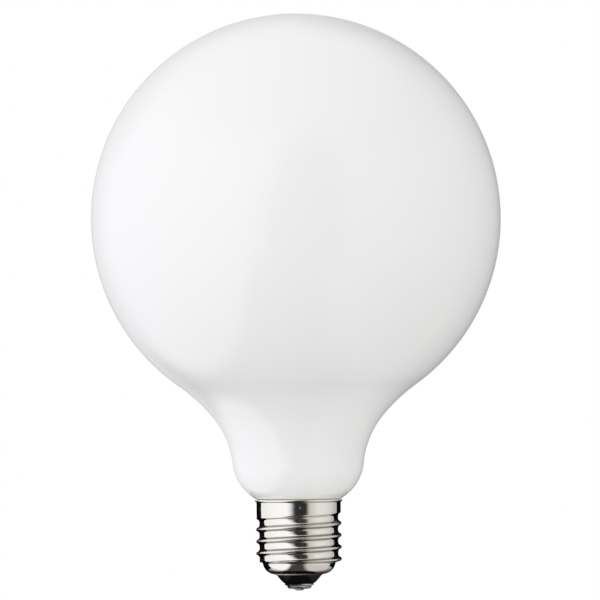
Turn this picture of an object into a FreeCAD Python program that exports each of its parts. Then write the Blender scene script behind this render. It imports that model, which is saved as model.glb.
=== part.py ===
import FreeCAD, Part
import math
import os
import Sketcher

# Globe bulb on a screw cap: an opal glass globe whose neck is cemented into a rolled metal screw shell,
# with a black glass insulator and a soldered centre contact under it.
# Millimetres and degrees. +Z runs up the bulb's axis, and the origin is the tip of the centre contact.
# Heights are stacked from the tip up, so that a longer piece lifts what stands on it.

SIZES = {
    # The drop of solder at the tip, and the centre contact that it lies on
    "solder_height": 1.6,
    "solder_round": 4.6,
    "solder_flat_radius": 1.6,
    "solder_margin": 0.6,
    "contact_sheet": 0.5,
    "contact_edge_round": 0.2,
    "contact_margin": 0.1,
    "stem_radius": 1.5,
    "stem_wall": 0.6,
    "stem_gap": 0.05,
    "stem_recess": 0.8,
    # The black glass insulator
    "insulator_tip_radius": 4.5,
    "insulator_nose_length": 2.9,
    "insulator_rim_length": 0.3,
    "insulator_gap": 0.1,
    "insulator_inner_gap": 0.05,
    # The screw shell: sheet metal with a turned-in base, a rolled thread, a plain collar and a flared lip
    "sheet": 0.35,
    "base_flange": 0.1,
    "base_round": 3.9,
    "base_depth": 3.5,
    "base_step": 0.9,
    "base_shoulder_length": 0.6,
    "thread_length": 12.1,
    "thread_depth": 1.05,
    "crest_radius": 13.05,
    "crest_round": 0.65,
    "crest_break": 0.6,
    "pitch": 3.629,
    "thread_top_rise": 0.1,
    "runout_turns": 0.42,
    "runout_overlap": 0.08,
    "runout_inset": 0.02,
    "runout_clearance": 0.14,
    "collar_step": 0.2,
    "collar_slope_length": 1.0,
    "collar_length": 4.95,
    "collar_bore_length": 2.1,
    "lip_flare": 0.55,
    "lip_length": 0.7,
    # The glass: a neck in the cap, then heel, throat, flare and ball, each arc tangent to the next.
    # A lean is the wall's angle from upright where the arc begins
    "neck_clearance": 1.25,
    "neck_depth": 8.85,
    "neck_foot_round": 1.5,
    "heel_depth": 0.96,
    "heel_round": 13.8,
    "mouth_gap": 0.35,
    "throat_round": 27.0,
    "throat_lean": 5.7,
    "flare_round": 53.7,
    "flare_lean": 40.4,
    "globe_radius": 62.5,
    # The cement ring between the neck and the shell
    "cement_foot_rise": 1.6,
    "cement_top_depth": 0.6,
    "bond_gap": 0.05,
}

# Edges closer than this to a height and radius lie there
SAME_PLACE = 1e-3

doc = FreeCAD.newDocument("GlobeBulb")
sheet = doc.addObject("Spreadsheet::Sheet", "Sizes")
sheet_names = []


class Size:
    """A number with the sheet formula that gives it, so that a sketch can be drawn and bound at once."""

    def __init__(self, number, formula):
        self.number = float(number)
        self.formula = formula

    def __add__(self, other):
        return Size(self.number + other.number, f"({self.formula} + {other.formula})")

    def __sub__(self, other):
        return Size(self.number - other.number, f"({self.formula} - {other.formula})")

    def __mul__(self, other):
        return Size(self.number * other.number, f"({self.formula} * {other.formula})")

    def __truediv__(self, other):
        return Size(self.number / other.number, f"({self.formula} / {other.formula})")

    def square_root(self):
        return Size(math.sqrt(self.number), f"sqrt({self.formula})")

    def rounded_up(self):
        return Size(math.ceil(self.number), f"ceil({self.formula})")

    def arc_tangent(self):
        return Size(math.degrees(math.atan(self.number)), f"atan({self.formula})")


def add_row(name, content):
    """Give the sheet a row: a name, and the number or formula that the name stands for."""
    sheet_names.append(name)
    row = len(sheet_names)
    sheet.set(f"A{row}", name)
    sheet.set(f"B{row}", content)
    sheet.setAlias(f"B{row}", name)
    doc.recompute()


def size(name):
    return Size(SIZES[name], f"Sizes.{name}")


def worked_out(name, value):
    """Give a size that follows from others its own row and name."""
    add_row(name, "=" + value.formula.replace("Sizes.", ""))
    return Size(value.number, f"Sizes.{name}")


def other_leg(longest, leg):
    """The third side of a right-angled triangle."""
    return (longest * longest - leg * leg).square_root()


for size_name, number in SIZES.items():
    add_row(size_name, str(number))

ZERO = Size(0, "0")
TWO = Size(2, "2")
HALF = Size(0.5, "0.5")

# A thread cut leaves the metal this far above the crests, and its profile ends this far outside them
CREST_CLEARANCE = Size(0.03, "0.03")
CUT_REACH = Size(0.6, "0.6")

# Heights, from the tip up
CONTACT_BACK = worked_out("contact_back", size("solder_height") + size("contact_sheet"))
BASE_FOOT = worked_out("base_foot", CONTACT_BACK + size("insulator_nose_length"))
BASE_TOP = worked_out("base_top", BASE_FOOT + size("base_depth"))
THREAD_FOOT = worked_out("thread_foot", BASE_TOP + size("base_shoulder_length"))
COLLAR_SLOPE_FOOT = worked_out("collar_slope_foot", THREAD_FOOT + size("thread_length"))
COLLAR_FOOT = worked_out("collar_foot", COLLAR_SLOPE_FOOT + size("collar_slope_length"))
THREAD_TOP = worked_out("thread_top", COLLAR_FOOT + size("thread_top_rise"))
LIP_FOOT = worked_out("lip_foot", COLLAR_FOOT + size("collar_length"))
BORE_STEP = worked_out("bore_step", LIP_FOOT - size("collar_bore_length"))
CAP_TOP = worked_out("cap_top", LIP_FOOT + size("lip_length"))
NECK_FOOT = worked_out("neck_foot", CAP_TOP - size("neck_depth"))
HEEL_FOOT = worked_out("heel_foot", CAP_TOP - size("heel_depth"))

# Radii, from the thread's root in and out
ROOT_RADIUS = worked_out("root_radius", size("crest_radius") - size("thread_depth"))
SHELL_BORE = worked_out("shell_bore", ROOT_RADIUS - size("sheet"))
COLLAR_RADIUS = worked_out("collar_radius", size("crest_radius") - size("collar_step"))
COLLAR_BORE = worked_out("collar_bore", COLLAR_RADIUS - size("sheet"))
LIP_RADIUS = worked_out("lip_radius", COLLAR_RADIUS + size("lip_flare"))
NECK_RADIUS = worked_out("neck_radius", SHELL_BORE - size("neck_clearance"))
MOUTH_RADIUS = worked_out("mouth_radius", LIP_RADIUS - size("sheet") - size("mouth_gap"))

# The turned-in base is one round: its centre stands over the flange, a little above the base's top edge
BASE_RADIUS = worked_out("base_radius", ROOT_RADIUS - size("base_step"))
BASE_ROUND_LIFT = worked_out("base_round_lift", size("base_round") - size("base_depth"))
BASE_ROUND_CENTRE = worked_out("base_round_centre", BASE_RADIUS - other_leg(size("base_round"), BASE_ROUND_LIFT))
BASE_OPENING = worked_out("base_opening", BASE_ROUND_CENTRE - size("base_flange"))
INNER_BASE_ROUND = worked_out("inner_base_round", size("base_round") - size("sheet"))

# The heel's round passes through the neck's side, under the lip, and through the cap's mouth
HEEL_RUN = worked_out("heel_run", MOUTH_RADIUS - NECK_RADIUS)
HEEL_CHORD = worked_out("heel_chord", (HEEL_RUN * HEEL_RUN + size("heel_depth") * size("heel_depth")).square_root())
HEEL_TURN = worked_out("heel_turn", other_leg(size("heel_round"), HEEL_CHORD * HALF) / HEEL_CHORD)
HEEL_CENTRE_RADIUS = worked_out("heel_centre_radius",
                                NECK_RADIUS + HEEL_RUN * HALF - size("heel_depth") * HEEL_TURN)
HEEL_CENTRE_HEIGHT = worked_out("heel_centre_height",
                                HEEL_FOOT + size("heel_depth") * HALF + HEEL_RUN * HEEL_TURN)


def new_body(label):
    body = doc.addObject("PartDesign::Body", label)
    body.Label = label
    return body


def origin_part(body, role):
    return next(part for part in body.Origin.OriginFeatures if part.Role == role)


def new_sketch(body, name):
    """A sketch in the half plane right of the axis: its x is the radius and its y the height."""
    sketch = body.newObject("Sketcher::SketchObject", name)
    sketch.AttachmentSupport = [(origin_part(body, "XZ_Plane"), "")]
    sketch.MapMode = "FlatFace"
    return sketch


def bind(sketch, kind, *target, to):
    """Add a dimension to the sketch and tie it to the sheet. An angle is in degrees there."""
    number = math.radians(to.number) if kind == "Angle" else to.number
    index = sketch.addConstraint(Sketcher.Constraint(kind, *target, number))
    sketch.setExpression(f"Constraints[{index}]", to.formula)


def bind_point(sketch, edge, end, radius, height):
    """Place one end of an edge: on the axis by a constraint of its own, since zero is no dimension."""
    if radius is ZERO:
        sketch.addConstraint(Sketcher.Constraint("PointOnObject", edge, end, -2))
    else:
        bind(sketch, "DistanceX", -1, 1, edge, end, to=radius)
    if height is ZERO:
        sketch.addConstraint(Sketcher.Constraint("PointOnObject", edge, end, -1))
    else:
        bind(sketch, "DistanceY", -1, 1, edge, end, to=height)


def vector(radius, height):
    return FreeCAD.Vector(radius, height, 0)


def arc_between(start, end, radius, turn):
    """The short arc from start to end. turn is 1 where it bends left on its way, and -1 where it bends right."""
    chord = end - start
    left = FreeCAD.Vector(-chord.y, chord.x, 0).normalize()
    reach = math.sqrt(radius ** 2 - (chord.Length / 2) ** 2)
    centre = (start + end) / 2 + left * (turn * reach)
    middle = centre - left * (turn * radius)
    return Part.Arc(start, middle, end)


def draw_outline(sketch, corners):
    """Draw a closed outline through corners, each (radius, height) or (radius, height, arc radius, turn)
    where the edge that leaves the corner is an arc."""
    count = len(corners)
    places = [vector(corner[0].number, corner[1].number) for corner in corners]
    starts = []
    for index, corner in enumerate(corners):
        start = places[index]
        end = places[(index + 1) % count]
        if len(corner) == 2:
            sketch.addGeometry(Part.LineSegment(start, end))
            starts.append(1)
        else:
            arc_radius, turn = corner[2], corner[3]
            sketch.addGeometry(arc_between(start, end, arc_radius.number, turn))
            starts.append(1 if turn > 0 else 2)
    for index in range(count):
        following = (index + 1) % count
        own_end = 3 - starts[index]
        sketch.addConstraint(Sketcher.Constraint("Coincident", index, own_end, following, starts[following]))
    for index, corner in enumerate(corners):
        bind_point(sketch, index, starts[index], corner[0], corner[1])
        if len(corner) > 2:
            bind(sketch, "Radius", index, to=corner[2])


def revolve(body, sketch):
    revolution = body.newObject("PartDesign::Revolution", f"{sketch.Label}Revolution")
    revolution.Profile = sketch
    revolution.ReferenceAxis = (origin_part(body, "Z_Axis"), [""])
    revolution.Angle = 360
    doc.recompute()
    return revolution


def round_edge(body, name, radius, height, rounding):
    """Round the circular edge of the body's last feature that has this radius and height."""
    base = body.Tip
    found = []
    for index, edge in enumerate(base.Shape.Edges, start=1):
        box = edge.BoundBox
        misses = (box.ZMin - height.number, box.ZMax - height.number, box.XMax - radius.number)
        if max(abs(miss) for miss in misses) < SAME_PLACE:
            found.append(f"Edge{index}")
    fillet = body.newObject("PartDesign::Fillet", name)
    fillet.Base = (base, found)
    fillet.setExpression("Radius", rounding.formula)
    doc.recompute()
    return fillet


def make_glass_globe():
    """The opal glass, ball and neck in one, closed by its own foot inside the cap."""
    body = new_body("glass_globe")
    sketch = new_sketch(body, "GlassProfile")
    heel = size("heel_round").number
    throat = size("throat_round").number
    flare = size("flare_round").number
    ball = size("globe_radius").number

    def square_to_wall(lean):
        """The way out of the glass, square to its wall where that leans this far out of upright."""
        angle = math.radians(size(lean).number)
        return vector(math.cos(angle), -math.sin(angle))

    # Each round's centre lies on the line through the one before and the joint between them
    out_of_throat = square_to_wall("throat_lean")
    out_of_flare = square_to_wall("flare_lean")
    heel_centre = vector(HEEL_CENTRE_RADIUS.number, HEEL_CENTRE_HEIGHT.number)
    throat_centre = heel_centre + out_of_throat * (heel + throat)
    flare_centre = throat_centre + out_of_flare * (flare - throat)
    ball_centre = vector(0, flare_centre.y + math.sqrt((ball + flare) ** 2 - flare_centre.x ** 2))
    heel_foot = vector(NECK_RADIUS.number, HEEL_FOOT.number)
    heel_joint = heel_centre + out_of_throat * heel
    throat_joint = throat_centre - out_of_flare * throat
    ball_joint = ball_centre + (flare_centre - ball_centre) * (ball / (ball + flare))
    top = ball_centre + vector(0, ball)
    print(f"the globe's centre is {ball_centre.y:.2f} mm up, and its top {top.y:.2f}")

    def add_arc(centre, radius, low, high):
        """An arc drawn counter-clockwise from the point low to the point high."""
        circle = Part.Circle(centre, FreeCAD.Vector(0, 0, 1), radius)
        return sketch.addGeometry(Part.ArcOfCircle(circle, circle.parameter(low), circle.parameter(high)))

    ball_arc = add_arc(ball_centre, ball, ball_joint, top)
    flare_arc = add_arc(flare_centre, flare, ball_joint, throat_joint)
    throat_arc = add_arc(throat_centre, throat, throat_joint, heel_joint)
    heel_arc = add_arc(heel_centre, heel, heel_foot, heel_joint)
    corner = vector(NECK_RADIUS.number, NECK_FOOT.number)
    neck_side = sketch.addGeometry(Part.LineSegment(heel_foot, corner))
    foot = sketch.addGeometry(Part.LineSegment(corner, vector(0, corner.y)))
    axis = sketch.addGeometry(Part.LineSegment(vector(0, corner.y), top))
    mouth = sketch.addGeometry(Part.Point(vector(MOUTH_RADIUS.number, CAP_TOP.number)), True)
    throat_spoke = sketch.addGeometry(Part.LineSegment(heel_centre, throat_centre), True)
    flare_spoke = sketch.addGeometry(Part.LineSegment(throat_centre, flare_centre), True)

    start, end, centre = 1, 2, 3
    sketch.addConstraint([
        Sketcher.Constraint("PointOnObject", ball_arc, centre, -2),
        Sketcher.Constraint("PointOnObject", ball_arc, end, -2),
        Sketcher.Constraint("Tangent", ball_arc, start, flare_arc, start),
        Sketcher.Constraint("Tangent", flare_arc, end, throat_arc, start),
        Sketcher.Constraint("Tangent", throat_arc, end, heel_arc, end),
        Sketcher.Constraint("Coincident", heel_arc, start, neck_side, start),
        Sketcher.Constraint("Coincident", neck_side, end, foot, start),
        Sketcher.Constraint("Coincident", foot, end, axis, start),
        Sketcher.Constraint("Coincident", axis, end, ball_arc, end),
        Sketcher.Constraint("Vertical", neck_side),
        Sketcher.Constraint("Vertical", axis),
        Sketcher.Constraint("Horizontal", foot),
        Sketcher.Constraint("PointOnObject", mouth, start, heel_arc),
        Sketcher.Constraint("Coincident", throat_spoke, start, heel_arc, centre),
        Sketcher.Constraint("Coincident", throat_spoke, end, throat_arc, centre),
        Sketcher.Constraint("Coincident", flare_spoke, start, throat_arc, centre),
        Sketcher.Constraint("Coincident", flare_spoke, end, flare_arc, centre),
    ])
    bind(sketch, "Radius", ball_arc, to=size("globe_radius"))
    bind(sketch, "Radius", flare_arc, to=size("flare_round"))
    bind(sketch, "Radius", throat_arc, to=size("throat_round"))
    bind(sketch, "Radius", heel_arc, to=size("heel_round"))
    bind(sketch, "Angle", throat_spoke, to=ZERO - size("throat_lean"))
    bind(sketch, "Angle", flare_spoke, to=ZERO - size("flare_lean"))
    bind_point(sketch, mouth, start, MOUTH_RADIUS, CAP_TOP)
    bind_point(sketch, neck_side, end, NECK_RADIUS, NECK_FOOT)
    bind(sketch, "DistanceY", -1, 1, neck_side, start, to=HEEL_FOOT)
    revolve(body, sketch)
    round_edge(body, "NeckFootRound", NECK_RADIUS, NECK_FOOT, size("neck_foot_round"))
    return body


def inside_base(round_radius):
    """Where a round about the turned-in base's centre reaches the base's top edge."""
    return BASE_ROUND_CENTRE + other_leg(round_radius, BASE_ROUND_LIFT)


def draw_shell_wall(sketch):
    """The shell's section before its thread is rolled: turned-in base, threaded stretch, collar and lip."""
    sheet_metal = size("sheet")
    draw_outline(sketch, [
        (BASE_OPENING, BASE_FOOT),
        (BASE_ROUND_CENTRE, BASE_FOOT, size("base_round"), 1),
        (BASE_RADIUS, BASE_TOP),
        (size("crest_radius"), THREAD_FOOT),
        (size("crest_radius"), COLLAR_SLOPE_FOOT),
        (COLLAR_RADIUS, COLLAR_FOOT),
        (COLLAR_RADIUS, LIP_FOOT),
        (LIP_RADIUS, CAP_TOP),
        (LIP_RADIUS - sheet_metal, CAP_TOP),
        (COLLAR_BORE, LIP_FOOT),
        (COLLAR_BORE, BORE_STEP),
        (SHELL_BORE, BORE_STEP - sheet_metal),
        (SHELL_BORE, THREAD_FOOT),
        (inside_base(INNER_BASE_ROUND), BASE_TOP, INNER_BASE_ROUND, -1),
        (BASE_ROUND_CENTRE, BASE_FOOT + sheet_metal),
        (BASE_OPENING, BASE_FOOT + sheet_metal),
    ])


def draw_thread_groove(sketch, height, inset):
    """One groove of the rolled thread: a hollow round between half rounds that lead up to the crests and
    leave them along their tangents. inset draws it that much smaller all round."""
    crest = size("crest_radius")
    crest_round = size("crest_round")
    depth = size("thread_depth")
    half_pitch = size("pitch") * HALF
    both_rounds = (half_pitch * half_pitch + depth * depth) / (TWO * depth)
    root_round = both_rounds - crest_round
    hollow = root_round - inset
    shoulder = crest_round + inset
    joint_radius = ROOT_RADIUS + root_round - hollow * (both_rounds - depth) / both_rounds
    joint_reach = half_pitch * hollow / both_rounds
    half_break = size("crest_break") * HALF
    break_drop = other_leg(shoulder, half_break)
    break_radius = crest - crest_round + break_drop
    break_reach = half_pitch - half_break
    above_crest = crest + CREST_CLEARANCE
    edge_reach = break_reach + (above_crest - break_radius) * break_drop / half_break
    outside = crest + CUT_REACH
    draw_outline(sketch, [
        (outside, height - edge_reach),
        (outside, height + edge_reach),
        (above_crest, height + edge_reach),
        (break_radius, height + break_reach, shoulder, -1),
        (joint_radius, height + joint_reach, hollow, 1),
        (joint_radius, height - joint_reach, shoulder, -1),
        (break_radius, height - break_reach),
        (above_crest, height - edge_reach),
    ])


def cut_helix(body, sketch, name, turns, slope):
    helix = body.newObject("PartDesign::SubtractiveHelix", name)
    helix.Profile = sketch
    helix.ReferenceAxis = (origin_part(body, "Z_Axis"), [""])
    helix.Mode = "pitch-height-angle"
    helix.setExpression("Pitch", size("pitch").formula)
    helix.setExpression("Height", (size("pitch") * turns).formula)
    helix.setExpression("Angle", slope.formula)
    helix.LeftHanded = False
    doc.recompute()
    return helix


def make_screw_shell():
    """The metal shell. Its right-hand thread starts below the metal, and above the last whole turn, at the back,
    it climbs out of the metal over a part of a turn."""
    body = new_body("screw_shell")
    wall = new_sketch(body, "ShellProfile")
    draw_shell_wall(wall)
    revolve(body, wall)
    whole = body.Shape.Volume
    pitch = size("pitch")
    turns = ((THREAD_TOP - BASE_TOP + pitch * HALF) / pitch).rounded_up()
    thread = new_sketch(body, "ThreadProfile")
    draw_thread_groove(thread, THREAD_TOP - pitch * turns, ZERO)
    cut_helix(body, thread, "Thread", turns + size("runout_overlap"), ZERO)
    runout = new_sketch(body, "RunoutProfile")
    draw_thread_groove(runout, THREAD_TOP, size("runout_inset"))
    climb = (size("thread_depth") + size("runout_clearance")) / (pitch * size("runout_turns"))
    cut_helix(body, runout, "ThreadRunout", size("runout_turns"), climb.arc_tangent())
    print(f"the thread takes {whole - body.Shape.Volume:.1f} of the shell's {whole:.1f} cubic mm")
    return body


def make_cap_cement():
    """The ring of cement that holds the neck, up to just under the lip."""
    body = new_body("cap_cement")
    sketch = new_sketch(body, "CementProfile")
    gap = size("bond_gap")
    top = CAP_TOP - size("cement_top_depth")
    foot = NECK_FOOT + size("cement_foot_rise")
    inside = NECK_RADIUS + gap
    heel = size("heel_round") + gap
    heel_height = HEEL_CENTRE_HEIGHT - other_leg(heel, inside - HEEL_CENTRE_RADIUS)
    heel_radius = HEEL_CENTRE_RADIUS + other_leg(heel, HEEL_CENTRE_HEIGHT - top)
    draw_outline(sketch, [
        (inside, foot),
        (SHELL_BORE - gap, foot),
        (SHELL_BORE - gap, BORE_STEP - size("sheet")),
        (COLLAR_BORE - gap, BORE_STEP),
        (COLLAR_BORE - gap, top),
        (heel_radius, top, heel, -1),
        (inside, heel_height),
    ])
    revolve(body, sketch)
    return body


def make_insulator():
    """The black glass that fills the shell's base and carries the centre contact on its tip."""
    body = new_body("insulator")
    sketch = new_sketch(body, "InsulatorProfile")
    gap = size("insulator_inner_gap")
    passing = BASE_OPENING - size("insulator_gap")
    seat = BASE_FOOT + size("sheet") + gap
    seat_round = INNER_BASE_ROUND - gap
    side = inside_base(seat_round)
    back = BASE_TOP + size("insulator_rim_length")
    hole = size("stem_radius") + size("stem_gap")
    draw_outline(sketch, [
        (hole, CONTACT_BACK),
        (size("insulator_tip_radius"), CONTACT_BACK),
        (passing, BASE_FOOT),
        (passing, seat),
        (BASE_ROUND_CENTRE, seat, seat_round, 1),
        (side, BASE_TOP),
        (side, back),
        (hole, back),
    ])
    revolve(body, sketch)
    return body


def contact_radius():
    return size("insulator_tip_radius") - size("contact_margin")


def make_contact_plate():
    """The centre contact: a disc with a tubular stem that holds it in the insulator."""
    body = new_body("contact_plate")
    sketch = new_sketch(body, "ContactProfile")
    face = size("solder_height")
    bore = size("stem_radius") - size("stem_wall")
    stem_end = BASE_TOP + size("insulator_rim_length") - size("stem_recess")
    draw_outline(sketch, [
        (bore, face),
        (contact_radius(), face),
        (contact_radius(), CONTACT_BACK),
        (size("stem_radius"), CONTACT_BACK),
        (size("stem_radius"), stem_end),
        (bore, stem_end),
    ])
    revolve(body, sketch)
    round_edge(body, "ContactEdgeRound", contact_radius(), face, size("contact_edge_round"))
    return body


def make_centre_solder():
    """The drop of solder on the contact, with the flat spot at its tip that meets the lamp holder."""
    body = new_body("centre_solder")
    sketch = new_sketch(body, "SolderProfile")
    face = size("solder_height")
    draw_outline(sketch, [
        (ZERO, ZERO),
        (size("solder_flat_radius"), ZERO, size("solder_round"), 1),
        (contact_radius() - size("solder_margin"), face),
        (ZERO, face),
    ])
    revolve(body, sketch)
    return body


def check_and_write(bodies):
    """Stop on any failed object, then write each piece's solid to its own file."""
    doc.recompute()
    failed = [item.Name for item in doc.Objects if {"Invalid", "Error"} & set(item.State)]
    if failed:
        raise RuntimeError(f"these objects failed: {failed}")
    os.makedirs("parts", exist_ok=True)
    for body in bodies:
        shape = body.Shape
        if shape.isNull() or not shape.isValid() or len(shape.Solids) != 1:
            raise RuntimeError(f"{body.Label} is not one valid solid")
        shape.exportStep(f"parts/{body.Label}.step")
        print(f"{body.Label}: {shape.Volume:.1f} cubic mm")


check_and_write([
    make_glass_globe(),
    make_cap_cement(),
    make_screw_shell(),
    make_insulator(),
    make_contact_plate(),
    make_centre_solder(),
])
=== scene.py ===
# %% [markdown]
# # A globe bulb, dressed in Blender
#
# The part is a large opal glass bulb on a screw cap. Its construction comes from a CAD model, which is loaded as a
# fixed frame: the frame's nodes say where everything sits and how large it is. Here each node is made again as a
# smooth, detailed mesh with its own finish, and then set in a small white studio.
#
# A bulb is a turned object. Nearly every piece starts as half a section, drawn from the axis outwards, and is spun
# round the axis. Only the screw thread needs another way, because its section shifts as it goes round.

# %% The frame
import math

import bmesh
import bpy
import numpy as np
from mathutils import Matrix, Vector, noise


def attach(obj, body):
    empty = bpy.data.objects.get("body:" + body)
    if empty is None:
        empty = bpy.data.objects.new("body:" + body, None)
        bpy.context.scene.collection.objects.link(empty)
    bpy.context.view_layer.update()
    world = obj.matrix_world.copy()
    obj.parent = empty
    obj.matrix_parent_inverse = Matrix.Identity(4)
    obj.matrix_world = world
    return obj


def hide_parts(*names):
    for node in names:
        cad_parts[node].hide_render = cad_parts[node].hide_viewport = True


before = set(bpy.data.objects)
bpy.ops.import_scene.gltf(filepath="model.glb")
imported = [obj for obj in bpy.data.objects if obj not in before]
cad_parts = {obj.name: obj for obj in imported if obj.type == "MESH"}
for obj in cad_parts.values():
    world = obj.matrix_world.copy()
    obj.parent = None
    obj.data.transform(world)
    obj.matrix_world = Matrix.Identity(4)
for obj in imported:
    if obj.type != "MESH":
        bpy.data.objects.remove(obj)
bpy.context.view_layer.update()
print("CAD nodes:", sorted(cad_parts))

# %% [markdown]
# ## The glass
#
# The real globe is blown in one with its neck, so its side has no corner anywhere. It could be one free curve, pulled
# by hand until it fits. Here it is a chain of rounds, each leaving the last one along its tangent: ball, flare, throat
# and heel. That keeps the wall smooth whatever the sizes are, and where two rounds meet, the angle at which the wall
# leans is all that is needed to find the next centre.
#
# A section is a list of points, each a radius and a height. Both are in millimetres, and every height is counted from
# the tip of the cap's contact.

# %% The glass's side
NECK_RADIUS = 10.4
NECK_FOOT = 19.0
NECK_FOOT_ROUND = 1.5
HEEL_ROUND = 13.8
THROAT_ROUND = 27.0
THROAT_LEAN = 5.7
FLARE_ROUND = 53.7
FLARE_LEAN = 40.4
GLOBE_RADIUS = 62.5


def arc(centre, radius, first_angle, last_angle, count):
    """Points on a round, from one angle to another, in degrees counted from straight outwards."""
    angles = np.radians(np.linspace(first_angle, last_angle, count))
    return [(centre[0] + radius * math.cos(a), centre[1] + radius * math.sin(a)) for a in angles]


def square_to_wall(lean):
    """The way straight out from a wall that leans by an angle in degrees."""
    angle = math.radians(lean)
    return Vector((math.cos(angle), -math.sin(angle)))


heel_centre = Vector((6.256, 40.053))
throat_centre = heel_centre + square_to_wall(THROAT_LEAN) * (HEEL_ROUND + THROAT_ROUND)
flare_centre = throat_centre + square_to_wall(FLARE_LEAN) * (FLARE_ROUND - THROAT_ROUND)
globe_height = flare_centre.y + math.sqrt((GLOBE_RADIUS + FLARE_ROUND) ** 2 - flare_centre.x ** 2)
ball_end = math.degrees(math.atan2(flare_centre.y - globe_height, flare_centre.x))
heel_start = -math.degrees(math.acos((NECK_RADIUS - heel_centre.x) / HEEL_ROUND))

glass_section = (
    [(0, NECK_FOOT)]
    + arc((NECK_RADIUS - NECK_FOOT_ROUND, NECK_FOOT + NECK_FOOT_ROUND), NECK_FOOT_ROUND, -90, 0, count=8)
    + arc(heel_centre, HEEL_ROUND, heel_start, -THROAT_LEAN, count=26)
    + arc(throat_centre, THROAT_ROUND, 180 - THROAT_LEAN, 180 - FLARE_LEAN, count=22)[1:]
    + arc(flare_centre, FLARE_ROUND, 180 - FLARE_LEAN, 180 + ball_end, count=22)[1:]
    + arc((0, globe_height), GLOBE_RADIUS, ball_end, 90, count=110)[1:-1]
    + [(0, globe_height + GLOBE_RADIUS)]
)
print(f"the ball's centre is {globe_height:.2f} mm up, and the side has {len(glass_section)} points")

# %% [markdown]
# ## Turning a section on the axis
#
# Glass and sheet metal like these are shaped while they turn, and the meshes are made the same way. A Screw modifier
# could sweep the section, but bmesh's spin gives a plain mesh at once and closes it on itself. Round stretches have
# enough points and steps that no facet shows in a reflection. Blender works in metres, so the lengths are scaled
# here, once.

# %% The glass globe
MM = 0.001


def turned_mesh(name, section, steps, closed=False):
    """Spin a section round the axis. A closed section is a ring that never meets the axis."""
    form = bmesh.new()
    points = [form.verts.new((radius * MM, 0, height * MM)) for radius, height in section]
    pairs = list(zip(points, points[1:] + points[:1])) if closed else list(zip(points, points[1:]))
    edges = [form.edges.new(pair) for pair in pairs]
    bmesh.ops.spin(form, geom=points + edges, cent=(0, 0, 0), axis=(0, 0, 1),
                   angle=2 * math.pi, steps=steps, use_merge=True)
    bmesh.ops.remove_doubles(form, verts=form.verts, dist=1e-7)
    bmesh.ops.recalc_face_normals(form, faces=form.faces)
    mesh = bpy.data.meshes.new(name)
    form.to_mesh(mesh)
    form.free()
    return mesh


def place_piece(name, mesh, node, sharp_angle):
    """Smooth a mesh, apart from edges sharper than an angle in degrees, and put it in place of a CAD node."""
    mesh.shade_smooth()
    mesh.set_sharp_from_angle(angle=math.radians(sharp_angle))
    mesh.update()
    piece = bpy.data.objects.new(name, mesh)
    bpy.context.scene.collection.objects.link(piece)
    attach(piece, "root")
    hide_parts(node)
    print(f"{name}: {len(mesh.vertices)} points, {len(mesh.polygons)} faces")
    return piece


glass_mesh = turned_mesh("glass_globe_look", glass_section, steps=256)
glass = place_piece("opal_globe", glass_mesh, "glass_globe", sharp_angle=50)

# %% [markdown]
# ## The cement
#
# The neck is held in the cap by a ring of cement, poured in and wiped off. Only its top can be seen, as a pale line in
# the gap between the glass and the lip. A flat disc would fill that gap, but a ring that follows the heel of the glass
# on one side and the bore of the shell on the other also leaves nothing empty behind it. Its wiped top is a shallow
# hollow.

# %% The cement ring
SHEET = 0.35
ROOT_RADIUS = 12.0
SHELL_BORE = ROOT_RADIUS - SHEET
BORE_STEP = 25.05
HEEL_FOOT = 26.89
CEMENT_FOOT = 20.6
CEMENT_TOP = 27.7
CEMENT_RADIUS = 12.45
CEMENT_GAP = 0.05
CEMENT_HOLLOW = 0.12
WIPED_OFF = 0.05


def heel_radius(height):
    """How far out the glass stands at a height in the cap's mouth."""
    return heel_centre.x + math.sqrt(HEEL_ROUND ** 2 - (heel_centre.y - height) ** 2)


rim_height = CEMENT_TOP - WIPED_OFF
rim_radius = heel_radius(rim_height) + CEMENT_GAP
wiped_top = [
    (CEMENT_RADIUS + (rim_radius - CEMENT_RADIUS) * share, CEMENT_TOP - CEMENT_HOLLOW * math.sin(math.pi * share))
    for share in np.linspace(0, 1, 8)[:-1]
]
against_glass = [(heel_radius(height) + CEMENT_GAP, height) for height in np.linspace(rim_height, HEEL_FOOT, 6)]
cement_section = (
    [(NECK_RADIUS + CEMENT_GAP, CEMENT_FOOT), (SHELL_BORE - CEMENT_GAP, CEMENT_FOOT),
     (SHELL_BORE - CEMENT_GAP, BORE_STEP - SHEET), (CEMENT_RADIUS, BORE_STEP)]
    + wiped_top + against_glass
)
cement_mesh = turned_mesh("cement_look", cement_section, steps=160, closed=True)
cement = place_piece("cement_ring", cement_mesh, "cap_cement", sharp_angle=40)

# %% [markdown]
# ## The screw shell
#
# The cap is drawn from thin sheet. Its thread is rolled in, its mouth is folded outwards into a lip, and its foot is
# turned in round the insulator. A spin can't make a thread. A boolean with a helix could, but it leaves ragged edges,
# which bright metal shows at once. So the shell is a grid of rings instead, and each point works out its own radius:
# from its height and from how far round it is, it knows how far it is from the nearest groove.
#
# A mirror shows which way a surface leans, more than how far it stands out. So the groove is written down as leans,
# from its middle up to the crest. Adding those up gives its shape, a wide flat hollow, steep sides and a narrow round
# crest, which is then stretched to the thread's real depth.

# %% The thread's form
PITCH = 3.629
HALF_PITCH = PITCH / 2
CREST_RADIUS = 13.05
THREAD_DEPTH = CREST_RADIUS - ROOT_RADIUS
NO_CUT = 100.0
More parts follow.
